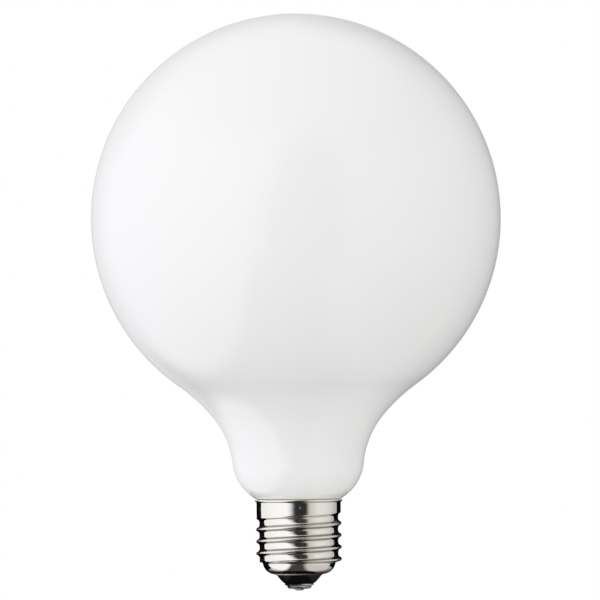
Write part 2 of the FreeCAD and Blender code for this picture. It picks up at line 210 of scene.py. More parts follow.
# How far the wall leans out, in degrees, at distances from the middle of a groove up to the top of a crest
LEANS = [(0, 0), (0.3, 5), (0.6, 11), (0.85, 22), (1.05, 40), (1.18, 56), (1.28, 60), (1.36, 52), (1.565, 25),
         (HALF_PITCH, 0)]
lean_reaches, lean_angles = zip(*LEANS)
reaches = np.linspace(0, HALF_PITCH, 240)
leans = np.radians(np.interp(reaches, lean_reaches, lean_angles))
climb = np.concatenate([[0], np.cumsum(np.diff(reaches) * np.tan((leans[1:] + leans[:-1]) / 2))])
print(f"the leans climb {climb[-1]:.3f} mm, and the thread is {THREAD_DEPTH:.2f} mm deep")

# %% [markdown]
# The top groove doesn't stop short. At the back of the cap it climbs out of the metal as it goes round, which is how
# rolling tools leave a sheet. Two shapes that meet are joined by a softened "lesser of the two", so that no crease
# shows between them.

# %% The grooves round the cap
THREAD_TOP = 22.3
RUNOUT_TURNS = 0.42
RUNOUT_RISE = 1.19
RUNOUT_SOFTNESS = 0.25
SOFTENED_BY = 0.3
NEARLY_NONE = 1e-6
WHOLE_GROOVES = range(1, 6)


def smooth_least(first, second, softness):
    """The lesser of two values, with the corner between them rounded off."""
    share = np.clip(0.5 + 0.5 * (second - first) / softness, 0, 1)
    return second + (first - second) * share - softness * share * (1 - share)


def groove_radius(offset):
    """The thread's radius at a distance up or down from the middle of a groove."""
    reach = np.abs(offset)
    cut = ROOT_RADIUS + THREAD_DEPTH * np.interp(reach, reaches, climb / climb[-1])
    return np.where(reach <= HALF_PITCH, cut, NO_CUT)


def thread_radius(turn, height):
    """The thread's radius, where turn counts whole turns from the right, anticlockwise seen from above."""
    grooves = [groove_radius(height - THREAD_TOP - PITCH * (turn - count)) for count in WHOLE_GROOVES]
    lift = RUNOUT_RISE * turn / RUNOUT_TURNS
    offset = height - THREAD_TOP - PITCH * turn
    softness = RUNOUT_SOFTNESS * np.clip(lift / SOFTENED_BY, 0, 1) + NEARLY_NONE
    fading = smooth_least(np.full_like(height, CREST_RADIUS), groove_radius(offset) + lift, softness)
    fading = np.where(np.abs(offset) <= HALF_PITCH, fading, NO_CUT)
    return np.minimum(np.minimum.reduce(grooves), fading)


front = thread_radius(np.full(200, 0.75), np.linspace(12, 20, 200))
print(f"at the front the thread runs from {front.min():.2f} to {front.max():.2f} mm out")

# %% The wall that the thread is rolled into
BASE_FOOT = 5.0
BASE_TOP = 8.5
BASE_RADIUS = 11.1
BASE_ROUND = 3.9
SHOULDER_FOOT = BASE_TOP - 0.1
SHOULDER_TOP = 9.3
COLLAR_FOOT = 22.2
COLLAR_RADIUS = 12.85
COLLAR_FLARE = 0.65
COLLAR_BLEND = 1.3
CLEAR_OF_THREAD = CREST_RADIUS + 0.5
WALL_SOFTNESS = 0.3
base_centre_height = BASE_FOOT + BASE_ROUND
base_centre_radius = BASE_RADIUS - math.sqrt(BASE_ROUND ** 2 - (base_centre_height - BASE_TOP) ** 2)


def smooth_step(low, high, value):
    """From 0 to 1 as a value goes from low to high, with soft ends."""
    share = np.clip((value - low) / (high - low), 0, 1)
    return share * share * (3 - 2 * share)


def wall_radius(height):
    """The plain wall: the shoulder over the base, room for the thread, and the collar."""
    shoulder = BASE_RADIUS + (CLEAR_OF_THREAD - BASE_RADIUS) * smooth_step(SHOULDER_FOOT, SHOULDER_TOP, height)
    collar = COLLAR_RADIUS + COLLAR_FLARE * (1 - smooth_step(COLLAR_FOOT - COLLAR_BLEND, COLLAR_FOOT, height))
    return np.minimum(shoulder, collar)


def shell_radius(turn, height):
    """Wall and thread in one: the outside of the sheet."""
    return smooth_least(wall_radius(height), thread_radius(turn, height), WALL_SOFTNESS)


print(f"the wall is {wall_radius(BASE_TOP):.2f} mm out over the base and {wall_radius(COLLAR_FOOT):.2f} at the collar")

# %% [markdown]
# The rings run from the foot up the outside, over the lip and back down the bore, which follows the outside at the
# thickness of the sheet. At the foot a thin bead hangs down where the sheet was cut. At the mouth the sheet folds
# outwards and ends in a round nose. The thread gets many close rings, and the plain parts get few.

# %% The foot and the lip
FOOT_FLANGE = 0.1
BASE_OPENING = base_centre_radius - FOOT_FLANGE
BASE_START_ANGLE = -86.5
BEAD_DROP = 0.16
BEAD_FOOT = BASE_FOOT - BEAD_DROP
CAP_TOP = 27.85
LIP_RADIUS = 13.4
FOLD_ROUND = 0.3
FOLD_HEIGHT = 26.8
NOSE_ROUND = 0.38
BORE_TOP = 27.0
# How far out from the opening, and the height
BEAD = [(0, BASE_FOOT + SHEET / 2), (0, BEAD_FOOT + 0.05), (0.05, BEAD_FOOT), (0.20, BEAD_FOOT),
        (0.27, BEAD_FOOT + 0.06), (0.30, BASE_FOOT - 0.01)]
INSIDE_THE_LIP = [(12.84, 27.76), (12.68, 27.55), (12.57, 27.3)]
# How far out from the opening, and up from the foot
CUT_EDGE = [(0.06, SHEET), (0.02, SHEET - 0.06)]

base_centre = (base_centre_radius, base_centre_height)
fold_centre = (COLLAR_RADIUS + FOLD_ROUND, FOLD_HEIGHT)
nose_centre = (LIP_RADIUS - NOSE_ROUND, CAP_TOP - NOSE_ROUND)
fold_angle = math.degrees(math.atan2(nose_centre[1] - fold_centre[1], nose_centre[0] - fold_centre[0]))


def base_end(radius):
    """The angle, in degrees, at which a round about the base's centre comes up to the base's top."""
    return -math.degrees(math.asin((base_centre_height - BASE_TOP) / radius))


print(f"the foot opens {BASE_OPENING:.2f} mm out, and the lip folds over by {fold_angle:.0f} degrees")

# %% The shell's rings
SHELL_COLUMNS = 264
THREAD_ROW = 0.08
PLAIN_ROW = 0.25
INNER_ROW = 0.4
THREAD_ROWS_END = COLLAR_FOOT + 0.3
PLAIN_ROWS_START = COLLAR_FOOT + 0.35
turns = np.arange(SHELL_COLUMNS) / SHELL_COLUMNS
flat = np.ones(SHELL_COLUMNS)
rings = []


def add_plain_rings(points):
    """Rings that are the same all the way round."""
    rings.extend((flat * radius, flat * height) for radius, height in points)


def add_rolled_rings(heights, depth):
    """Rings that follow the thread, on the outside or at a depth under it."""
    rings.extend((shell_radius(turns, flat * height) - depth, flat * height) for height in heights)


add_plain_rings([(BASE_OPENING + out, height) for out, height in BEAD])
add_plain_rings(arc(base_centre, BASE_ROUND, BASE_START_ANGLE, base_end(BASE_ROUND), count=24)[:-1])
add_rolled_rings(np.arange(BASE_TOP, THREAD_ROWS_END, THREAD_ROW), depth=0)
add_rolled_rings(np.arange(PLAIN_ROWS_START, FOLD_HEIGHT, PLAIN_ROW), depth=0)
add_plain_rings(arc(fold_centre, FOLD_ROUND, 180, fold_angle, count=8))
add_plain_rings(arc(nose_centre, NOSE_ROUND, fold_angle - 180, 90, count=16)[1:])
add_plain_rings(INSIDE_THE_LIP)
add_rolled_rings(np.arange(BORE_TOP, BASE_TOP, -INNER_ROW), depth=SHEET)
add_plain_rings(arc(base_centre, BASE_ROUND - SHEET, base_end(BASE_ROUND - SHEET), -90, count=10))
add_plain_rings([(BASE_OPENING + out, BASE_FOOT + height) for out, height in CUT_EDGE])
print(len(rings), "rings of", SHELL_COLUMNS, "points")

# %% The shell's mesh
ring_radii = np.array([radii for radii, _ in rings])
ring_heights = np.array([heights for _, heights in rings])
angles = 2 * np.pi * turns
shell_points = np.stack([ring_radii * np.cos(angles), ring_radii * np.sin(angles), ring_heights], axis=-1) * MM
corner = np.arange(len(rings) * SHELL_COLUMNS).reshape(len(rings), SHELL_COLUMNS)
beside = np.roll(corner, -1, axis=1)
above = np.roll(corner, -1, axis=0)
shell_faces = np.stack([corner, beside, np.roll(beside, -1, axis=0), above], axis=-1).reshape(-1, 4)

shell_mesh = bpy.data.meshes.new("screw_shell_look")
shell_mesh.from_pydata(shell_points.reshape(-1, 3).tolist(), [], shell_faces.tolist())
shell = place_piece("rolled_screw_shell", shell_mesh, "screw_shell", sharp_angle=75)

# %% [markdown]
# ## The insulator
#
# Under the shell is a plug of black glass, pressed hot into the foot of the cap. A plain cone would be close, but
# pressed glass has soft edges, and its side sinks in a little as it cools. Both catch the light, so both are drawn
# into the section, which also follows the inside of the shell down to its opening.

# %% The black glass insulator
CONTACT_BACK = 2.1
TIP_RADIUS = 4.5
# How far out from the tip's radius, and how far back from its face
TIP_EDGE = [(-0.5, 0), (-0.28, 0.01), (-0.08, 0.08), (0.12, 0.24)]
SIDE_HOLLOW = 0.12
STEM_HOLE = 1.55
INSULATOR_BACK = 8.8
FOOT_RADIUS = BASE_OPENING - 0.02
SEAT_ROUND = BASE_ROUND - SHEET - 0.05

insulator_tip = [(TIP_RADIUS + out, CONTACT_BACK + back) for out, back in TIP_EDGE]
insulator_side = [
    (TIP_RADIUS + (FOOT_RADIUS - TIP_RADIUS) * share,
     CONTACT_BACK + (BASE_FOOT - CONTACT_BACK) * share - SIDE_HOLLOW * math.sin(math.pi * share))
    for share in np.linspace(0.15, 0.94, 10)
]
opening = [(FOOT_RADIUS - 0.03, BASE_FOOT - 0.04), (FOOT_RADIUS, BASE_FOOT + 0.1),
           (FOOT_RADIUS, BASE_FOOT + SHEET + 0.05)]
seat = arc(base_centre, SEAT_ROUND, -90, base_end(SEAT_ROUND), count=10)
insulator_section = (
    [(STEM_HOLE, CONTACT_BACK)] + insulator_tip + insulator_side + opening + seat
    + [(seat[-1][0], INSULATOR_BACK), (STEM_HOLE, INSULATOR_BACK)]
)
insulator_mesh = turned_mesh("insulator_look", insulator_section, steps=160, closed=True)
insulator = place_piece("black_glass_insulator", insulator_mesh, "insulator", sharp_angle=50)

# %% [markdown]
# ## The contact
#
# A thin pressed disc lies on the insulator's tip, with a hollow stem that the lead wire comes out through. A cylinder
# with a bevel could stand for it. Since the section is only a few points long, it is turned like the rest, with a
# round front edge, where the die drew the metal over, and a tighter one behind.

# %% The contact disc
CONTACT_FACE = 1.6
CONTACT_RADIUS = 4.4
FRONT_EDGE = 0.2
BACK_EDGE = 0.08
STEM_RADIUS = 1.5
STEM_BORE = 0.9
STEM_TOP = 8.0
contact_section = (
    [(STEM_BORE, CONTACT_FACE)]
    + arc((CONTACT_RADIUS - FRONT_EDGE, CONTACT_FACE + FRONT_EDGE), FRONT_EDGE, -90, 0, count=6)
    + arc((CONTACT_RADIUS - BACK_EDGE, CONTACT_BACK - BACK_EDGE), BACK_EDGE, 0, 90, count=4)
    + [(STEM_RADIUS, CONTACT_BACK), (STEM_RADIUS, STEM_TOP), (STEM_BORE, STEM_TOP)]
)
contact_mesh = turned_mesh("contact_look", contact_section, steps=128, closed=True)
contact = place_piece("contact_disc", contact_mesh, "contact_plate", sharp_angle=50)

# %% [markdown]
# ## The solder
#
# A drop of solder holds the lead wire to the disc. It sets as it likes, in a shallow dish with a nub in the middle,
# and the lamp holder's spring wears the nub flat. Sculpting by hand would give one good drop, but a rule is easier to
# change: the drop is spun first, and then each point is moved by smooth noise, slow lumps and finer ripples. The
# push fades out towards the disc and towards the flat tip, so those two stay true.

# %% The drop of solder
SOLDER_RADIUS = 3.8
# Radius and height along the drop's skin, from the worn tip out to the disc
SOLDER_SKIN = [(0, 0), (0.9, 0), (1.2, 0.1), (1.45, 0.38), (1.8, 0.52), (2.5, 0.56), (3.1, 0.62), (3.45, 0.76),
               (3.68, 1.0), (SOLDER_RADIUS, CONTACT_FACE)]
SKIN_POINTS = 40
TRUE_TIP = 0.5
HARDLY = 1e-3
LUMP_LIFT = 0.2
RIPPLE_LIFT = 0.05
LEAST_PULL = 0.01
LUMP_PULL = 0.05
RIPPLE_PULL = 0.03
skin_radii, skin_heights = zip(*SOLDER_SKIN)
along = np.linspace(0, len(SOLDER_SKIN) - 1, SKIN_POINTS)
skin = list(zip(np.interp(along, range(len(SOLDER_SKIN)), skin_radii),
                np.interp(along, range(len(SOLDER_SKIN)), skin_heights)))
solder_mesh = turned_mesh("solder_look", skin + [(0, CONTACT_FACE)], steps=96)


def unevenness(away, height, across_scale, up_scale, start):
    """Smooth noise at a place on the drop, between about -1 and 1."""
    place = Vector((away.x * across_scale, away.y * across_scale, height * up_scale))
    return noise.noise(place + Vector(start))


for point in solder_mesh.vertices:
    height = point.co.z / MM
    away = Vector((point.co.x, point.co.y, 0)) / MM
    if HARDLY < height < CONTACT_FACE - HARDLY:
        lump = unevenness(away, height, 0.55, 0.9, start=(3.1, 1.7, 0.4))
        ripple = unevenness(away, height, 1.7, 1.5, start=(8.3, 2.9, 5.2))
        share = min(height / TRUE_TIP, 1)
        point.co.z += (LUMP_LIFT * lump + RIPPLE_LIFT * ripple) * share * (1 - height / CONTACT_FACE) * MM
        point.co.z = min(max(point.co.z, 0), CONTACT_FACE * MM)
        point.co.xy *= 1 - share * max(0, LEAST_PULL + LUMP_PULL * lump + RIPPLE_PULL * ripple)
solder = place_piece("solder_drop", solder_mesh, "centre_solder", sharp_angle=60)

# %% [markdown]
# ## Writing materials
#
# A material is a graph of small nodes. It could be clicked together in the shader editor, but written down it can be
# read, reused and run again. A few helpers keep the graphs short. The first adds a node with its settings and inputs
# in a single call, and two more use it for sums and for masks that fade in.

# %% Tools for node graphs
def add_node(tree, kind, inputs=None, **settings):
    """Add a node, make its settings, and fill its inputs with values or with other nodes' outputs."""
    node = tree.nodes.new(kind)
    for name, value in settings.items():
        setattr(node, name, value)
    for socket, value in (inputs or {}).items():
        if isinstance(value, bpy.types.NodeSocket):
            tree.links.new(value, node.inputs[socket])
        else:
            node.inputs[socket].default_value = value
    return node


def work_out(tree, operation, *values, clamp=False):
    """The result of a sum."""
    node = add_node(tree, "ShaderNodeMath", dict(enumerate(values)), operation=operation, use_clamp=clamp)
    return node.outputs[0]


def spread(tree, value, low, high, new_low=0.0, new_high=1.0, smooth=True):
    """Map a value from one range to another, with soft ends."""
    kind = "SMOOTHSTEP" if smooth else "LINEAR"
    node = add_node(tree, "ShaderNodeMapRange", {"Value": value, "From Min": low, "From Max": high,
                                                 "To Min": new_low, "To Max": new_high}, interpolation_type=kind)
    return node.outputs["Result"]


print("tools for graphs:", ", ".join(tool.__name__ for tool in (add_node, work_out, spread)))

# %% [markdown]
# ## Effects that more than one finish shares
#
# Glass and metal pick up the same things from being handled: faint smudges that dull the gloss, specks of dust,
# and on metal fine scratches. Each effect could be written out again in every material. As a node group with its own
# dials it is built once, and each material sets the dials to its own scale.

# %% Smudges: soft patches where a surface was handled
MIDDLE_OF_NOISE = 0.56


def place_on_piece(tree):
    """Where a point of the surface is, in the piece's own coordinates."""
    return add_node(tree, "ShaderNodeTexCoord").outputs["Object"]


def new_group(name, inputs, outputs):
    """An empty node group with float inputs, given as name and default, and named outputs."""
    group = bpy.data.node_groups.new(name, "ShaderNodeTree")
    for socket, default in inputs.items():
        group.interface.new_socket(name=socket, in_out="INPUT", socket_type="NodeSocketFloat").default_value = default
    for socket in outputs:
        group.interface.new_socket(name=socket, in_out="OUTPUT", socket_type="NodeSocketFloat")
    return group, group.nodes.new("NodeGroupInput").outputs, group.nodes.new("NodeGroupOutput").inputs


smudges, dial, result = new_group("Smudges", {"Scale": 60.0, "Contrast": 0.15}, ["Mask"])
cloud = add_node(smudges, "ShaderNodeTexNoise", {
    "Vector": place_on_piece(smudges), "Scale": dial["Scale"], "Detail": 4.0, "Roughness": 0.55, "Distortion": 0.6})
low = work_out(smudges, "SUBTRACT", MIDDLE_OF_NOISE, dial["Contrast"])
high = work_out(smudges, "ADD", MIDDLE_OF_NOISE, dial["Contrast"])
smudges.links.new(spread(smudges, cloud.outputs["Fac"], low, high), result["Mask"])
print("Smudges:", len(smudges.nodes), "nodes")

# %% Specks: single grains of dust, scattered far apart
specks, dial, result = new_group("Specks", {"Scale": 120.0, "Size": 0.05, "Share": 0.1}, ["Mask"])
grains = add_node(specks, "ShaderNodeTexVoronoi", {"Vector": place_on_piece(specks), "Scale": dial["Scale"]})
near = work_out(specks, "LESS_THAN", grains.outputs["Distance"], dial["Size"])
draw = add_node(specks, "ShaderNodeSeparateColor", {"Color": grains.outputs["Color"]})
chosen = work_out(specks, "LESS_THAN", draw.outputs[0], dial["Share"])
specks.links.new(work_out(specks, "MULTIPLY", near, chosen), result["Mask"])
print("Specks:", len(specks.nodes), "nodes")

# %% Scratches: fine lines round the piece, from turning and from screwing it in
FAINTEST_LINE = 0.75
FULL_LINE = 0.8


def parts_of(tree, vector):
    """The three parts of a vector: right, back and up."""
    return add_node(tree, "ShaderNodeSeparateXYZ", {"Vector": vector}).outputs


scratches, dial, result = new_group("Scratches", {"Round": 30.0, "Up": 2600.0, "Share": 0.35}, ["Mask", "Height"])
stretch = {0: dial["Round"], 1: dial["Round"], 2: dial["Up"]}
axes = parts_of(scratches, place_on_piece(scratches))
stretched = add_node(scratches, "ShaderNodeCombineXYZ", {
    axis: work_out(scratches, "MULTIPLY", axes[axis], scale) for axis, scale in stretch.items()}).outputs[0]
lines = add_node(scratches, "ShaderNodeTexNoise", {
    "Vector": stretched, "Scale": 1.0, "Detail": 3.0, "Roughness": 0.7}).outputs["Fac"]
low = work_out(scratches, "SUBTRACT", FAINTEST_LINE, work_out(scratches, "MULTIPLY", dial["Share"], 0.5))
scratches.links.new(spread(scratches, lines, low, FULL_LINE), result["Mask"])
scratches.links.new(lines, result["Height"])
print("Scratches:", len(scratches.nodes), "nodes")

# %% [markdown]
# ## Opal glass
#
# Real opal glass is white right through and polished outside. It could be made with scattering under the surface, but
# that is slow, and so dense a glass looks the same as a pale matt body under a clear gloss. The gloss mirrors the soft
# lights as broad, faint shapes. Close to the cap the white is painted lighter, as painted light against the shade of
# the lip, and warmer, with a trace of the cement's colour. Clouds and smears keep it from being one flat tone, and
# here and there a grain of dust sits on it.

# %% Starting a material, and dressing a piece in it
def new_material(name, settings=None):
    """A material with one Principled shader, its even settings, and the graph to build on."""
    material = bpy.data.materials.new(name)
    material.use_nodes = True
    sockets = material.node_tree.nodes["Principled BSDF"].inputs
    for socket, value in (settings or {}).items():
        sockets[socket].default_value = value
    return material, material.node_tree, sockets


def use_group(tree, group, **dials):
    """Place a group in a material, with its dials set."""
    node = tree.nodes.new("ShaderNodeGroup")
    node.node_tree = group
    for dial, value in dials.items():
        node.inputs[dial].default_value = value
    return node.outputs


def dress(piece, material):
    """Give a piece its finish."""
    piece.data.materials.append(material)
    print(f"{piece.name} is dressed in {material.name}, {len(material.node_tree.nodes)} nodes")


print("ready to dress", ", ".join(piece.name for piece in (glass, cement, shell, insulator, contact, solder)))

# %% The opal glass
OPAL_WHITE = (0.900, 0.902, 0.905, 1)
PAINTED_LIGHT_BY_THE_CAP = (0.935, 0.937, 0.885, 1)
CLOUDED_WHITE = (0.892, 0.892, 0.890, 1)
DUST_ON_GLASS = (0.45, 0.44, 0.42, 1)


def spread_mm(tree, length, low, high, new_low=0.0, new_high=1.0):
    """Spread a length that is in metres, with its two ends given in millimetres."""
    return spread(tree, length, low * MM, high * MM, new_low, new_high)


def blend_colours(tree, share, first, second):
    """The first colour where the share is 0, and the second where it is 1."""
    return add_node(tree, "ShaderNodeMix", {0: share, 6: first, 7: second}, data_type="RGBA").outputs[2]


opal, tree, socket = new_material("opal_glass", {"IOR": 1.5})
height = parts_of(tree, place_on_piece(tree))[2]
# Painted light: near the cap the white is lighter and warmer, against the shade of the lip.
near_cap = spread_mm(tree, height, CAP_TOP + 4.5, CAP_TOP + 0.2)
white = blend_colours(tree, near_cap, OPAL_WHITE, PAINTED_LIGHT_BY_THE_CAP)
clouds = use_group(tree, smudges, Scale=22.0, Contrast=0.3)["Mask"]
white = blend_colours(tree, work_out(tree, "MULTIPLY", clouds, 0.25), white, CLOUDED_WHITE)
dust = use_group(tree, specks, Scale=55.0, Size=0.022, Share=0.04)["Mask"]
tree.links.new(blend_colours(tree, dust, white, DUST_ON_GLASS), socket["Base Color"])
smear = use_group(tree, smudges, Scale=45.0, Contrast=0.2)["Mask"]
tree.links.new(spread(tree, smear, 0, 1, 0.09, 0.14), socket["Roughness"])
dress(glass, opal)

# %% [markdown]
# ## Nickel plate
#
# Bright nickel is a nearly perfect mirror with a slightly warm tint. A plain mirror would look drawn, though. What
# makes it real is how little is wrong with it, and that goes by where the part is touched. The steep sides of the
# grooves, the seam over the base and the fold of the lip are darkened with painted shade. At the foot the sheet was
# cut, so the edge is bare, and it is painted pale on the left and dark on the right, as painted light and shade.

# %% The nickel's colour
NICKEL = (0.80, 0.775, 0.735, 1)
WARMER_NICKEL = (0.775, 0.745, 0.70, 1)
CREASE_SHADE = (0.16, 0.14, 0.12, 1)
BARE_EDGE_LIT = (0.85, 0.82, 0.77, 1)
BARE_EDGE_SHADED = (0.06, 0.055, 0.05, 1)


def band_mm(tree, length, low, full_low, full_high, high):
    """A mask that is full between two lengths and fades out beyond them, in millimetres."""
    return work_out(tree, "MULTIPLY", spread_mm(tree, length, low, full_low), spread_mm(tree, length, high, full_high))


nickel, tree, socket = new_material("nickel_plate")
place = place_on_piece(tree)
right, _, height = parts_of(tree, place)
smear = use_group(tree, smudges, Scale=260.0, Contrast=0.2)["Mask"]
metal = blend_colours(tree, work_out(tree, "MULTIPLY", smear, 0.5), NICKEL, WARMER_NICKEL)

normal = add_node(tree, "ShaderNodeNewGeometry").outputs["Normal"]
steep = spread(tree, work_out(tree, "ABSOLUTE", parts_of(tree, normal)[2]), 0.40, 0.60)
# Where shade is painted: the heights at which it sets in, is full, stops being full and ends
rolled = band_mm(tree, height, 8.9, 9.3, 22.0, 22.4)
folded = band_mm(tree, height, 26.70, 26.85, 27.15, 27.25)
seam = band_mm(tree, height, 8.3, 8.45, 8.75, 8.9)
crease_shade_strength = 0.0
for where, strength in ((rolled, 0.45), (folded, 0.8), (seam, 0.65)):
    crease_shade_strength = work_out(tree, "ADD", crease_shade_strength, work_out(tree, "MULTIPLY", where, strength))
# Painted shade: the steep sides of the grooves, the seam and the lip's fold are darkened.
metal = blend_colours(tree, work_out(tree, "MULTIPLY", steep, crease_shade_strength), metal, CREASE_SHADE)

cut_edge = spread_mm(tree, height, 5.30, 5.16)
# Painted light and shade on the bare cut edge: pale on the left, dark on the right.
bare = blend_colours(tree, spread_mm(tree, right, -9.5, 5.5), BARE_EDGE_LIT, BARE_EDGE_SHADED)
tree.links.new(blend_colours(tree, cut_edge, metal, bare), socket["Base Color"])
tree.links.new(spread(tree, cut_edge, 0, 1, 1, 0.2), socket["Metallic"])
print("nickel's colour:", len(tree.nodes), "nodes")

# %% [markdown]
# The gloss tells how the cap was used. The crests are a little dull, because they rub in the lamp holder, with grit
# and one small scuff on the collar. Fine scratches run round the cap, and slow waves in the sheet bend the
# reflections. Both of those are bumps, since as real shapes they would take millions of faces.

# %% The nickel's gloss
SCUFF_PLACE = (0.0006, -0.01285, 0.0254)


def distance_from(tree, place, point):
    """How far a place is from a point, in metres."""
    return add_node(tree, "ShaderNodeVectorMath", {0: place, 1: point}, operation="DISTANCE").outputs["Value"]


def cloud_noise(tree, place, scale, detail):
    """Soft noise, between 0 and 1 and mostly near the middle."""
    return add_node(tree, "ShaderNodeTexNoise", {"Vector": place, "Scale": scale, "Detail": detail}).outputs["Fac"]


def bump(tree, height, strength, distance, **inputs):
    """A surface normal that follows a height."""
    return add_node(tree, "ShaderNodeBump", {"Height": height, "Strength": strength, "Distance": distance,
                                             **inputs}).outputs[0]


scratch = use_group(tree, scratches, Round=40.0, Up=2400.0, Share=0.3)
haze = use_group(tree, smudges, Scale=420.0, Contrast=0.08)["Mask"]
dull = work_out(tree, "ADD", spread(tree, haze, 0, 1, 0.07, 0.15), work_out(tree, "MULTIPLY", scratch["Mask"], 0.12))

ragged = cloud_noise(tree, place, 1500.0, 2.0)
scuff = work_out(tree, "MULTIPLY", spread_mm(tree, distance_from(tree, place, SCUFF_PLACE), 0.75, 0.1),
                 spread(tree, ragged, 0.42, 0.62))
grit = use_group(tree, specks, Scale=900.0, Size=0.11, Share=0.06)["Mask"]
marks = work_out(tree, "MAXIMUM", scuff, work_out(tree, "MULTIPLY", grit, 0.6))
outwards = add_node(tree, "ShaderNodeVectorMath", {0: place, 1: (1, 1, 0)}, operation="MULTIPLY").outputs["Vector"]
out = add_node(tree, "ShaderNodeVectorMath", {0: outwards}, operation="LENGTH").outputs["Value"]
crest = work_out(tree, "MULTIPLY", spread_mm(tree, out, CREST_RADIUS - 0.14, CREST_RADIUS - 0.03), rolled)
worn = work_out(tree, "MULTIPLY", crest, spread(tree, ragged, 0.3, 0.6, 0.3, 0.6))
marks = work_out(tree, "MAXIMUM", marks, worn)
tree.links.new(work_out(tree, "ADD", dull, work_out(tree, "MULTIPLY", marks, 0.42)), socket["Roughness"])

soft_waves = bump(tree, cloud_noise(tree, place, 130.0, 1.0), 0.08, 0.0006)
tree.links.new(bump(tree, scratch["Height"], 0.05, 0.00004, Normal=soft_waves), socket["Normal"])
dress(shell, nickel)

# %% [markdown]
# ## Black glass
#
# The insulator is pressed, not polished, so its gloss is softer and weaker than the globe's: most of what it mirrors
# is lost in the black. One black value would hide its form. A few pale specks and a gloss that changes from patch to
# patch keep it readable.

# %% The black glass
GLASS_BLACK = (0.006, 0.006, 0.007, 1)
DUST_ON_BLACK = (0.10, 0.10, 0.09, 1)
black, tree, socket = new_material("black_glass", {"IOR": 1.5, "Specular IOR Level": 0.1})
dust = use_group(tree, specks, Scale=700.0, Size=0.06, Share=0.05)["Mask"]
tree.links.new(blend_colours(tree, dust, GLASS_BLACK, DUST_ON_BLACK), socket["Base Color"])
smear = use_group(tree, smudges, Scale=300.0, Contrast=0.25)["Mask"]
tree.links.new(spread(tree, smear, 0, 1, 0.12, 0.22), socket["Roughness"])
dress(insulator, black)

# %% [markdown]
# ## Tin
#
# The contact disc is tinned metal, dull and finely scratched. On one side it has kept its shine, and on the other it
# is tarnished nearly black, as metal gets where flux was left on it. One colour for the whole disc would lose the pale
# line that sets it off from the insulator.

# %% The tinned metal
TIN = (0.56, 0.53, 0.53, 1)
GREYER_TIN = (0.44, 0.42, 0.42, 1)
TARNISH = (0.012, 0.010, 0.010, 1)
tin, tree, socket = new_material("tinned_metal", {"Metallic": 1.0})
smear = use_group(tree, smudges, Scale=700.0, Contrast=0.15)["Mask"]
right = parts_of(tree, place_on_piece(tree))[0]
tarnished = work_out(tree, "ADD", spread_mm(tree, right, 1.2, -1.0, 0.0, 0.97),
                     work_out(tree, "MULTIPLY", smear, 0.2), clamp=True)
bright = blend_colours(tree, smear, TIN, GREYER_TIN)
tree.links.new(blend_colours(tree, tarnished, bright, TARNISH), socket["Base Color"])
scratch = use_group(tree, scratches, Round=300.0, Up=3000.0, Share=0.5)
dull = work_out(tree, "ADD", 0.34, work_out(tree, "MULTIPLY", scratch["Mask"], 0.2))
tree.links.new(dull, socket["Roughness"])
tree.links.new(bump(tree, scratch["Height"], 0.2, 0.0001), socket["Normal"])
dress(contact, tin)

# %% [markdown]
# ## Solder
#
# The solder's skin is bluish down the middle, a painted highlight, and duller and darker at the sides. A dark line of
# painted shade runs where it folds over itself, and at its left edge it is dark where it took up flux. The nub is worn
# bare: brown round its edge, pale on its face, with painted shade on its right side. Painting that by hand would need
# an image. Here each tone is a mask by place, and a slow noise is added to the place first, so that the edges between
# the tones wander as they do in the metal.

# %% The solder's tones
SKIN_LEFT = (0.15, 0.13, 0.16, 1)
HIGHLIGHT_BLUE = (0.46, 0.54, 0.64, 1)
SKIN_RIGHT = (0.26, 0.29, 0.31, 1)
FOLD_SHADE = (0.03, 0.026, 0.024, 1)
NUB_EDGE = (0.36, 0.29, 0.26, 1)
NUB_FACE = (0.62, 0.66, 0.70, 1)
NUB_SHADE = (0.16, 0.16, 0.16, 1)
FLUX_BLACK = (0.012, 0.010, 0.010, 1)
STAIN = (0.10, 0.09, 0.09, 1)
WANDER_ACROSS = 0.0007
WANDER_UP = 0.00006

alloy, tree, socket = new_material("solder", {"Metallic": 0.2})
place = place_on_piece(tree)
right, _, height = parts_of(tree, place)
drift = cloud_noise(tree, place, 380.0, 2.0)
right = work_out(tree, "ADD", right, spread(tree, drift, 0.3, 0.7, -WANDER_ACROSS, WANDER_ACROSS))
height = work_out(tree, "ADD", height, spread(tree, drift, 0.3, 0.7, -WANDER_UP, WANDER_UP))
# Painted highlight: the skin is lighter and bluish down the middle of the drop, darker to each side.
tone = blend_colours(tree, spread_mm(tree, right, -1.6, -0.7), SKIN_LEFT, HIGHLIGHT_BLUE)
tone = blend_colours(tree, spread_mm(tree, right, 1.4, 2.4), tone, SKIN_RIGHT)
# Painted shade: a dark line high on the drop, where it folds over itself.
folded = work_out(tree, "MULTIPLY", band_mm(tree, right, -1.5, -0.9, 1.4, 2.0), spread_mm(tree, height, 1.28, 1.12))
tone = blend_colours(tree, folded, tone, FOLD_SHADE)
nub = blend_colours(tree, spread_mm(tree, height, 0.45, 0.25), NUB_EDGE, NUB_FACE)
# Painted shade on the right side of the nub.
nub = blend_colours(tree, spread_mm(tree, right, 1.0, 1.9), nub, NUB_SHADE)
tone = blend_colours(tree, spread_mm(tree, height, 0.86, 0.74), tone, nub)
tone = blend_colours(tree, spread_mm(tree, right, -2.9, -3.3), tone, FLUX_BLACK)
print("solder's tones:", len(tree.nodes), "nodes")

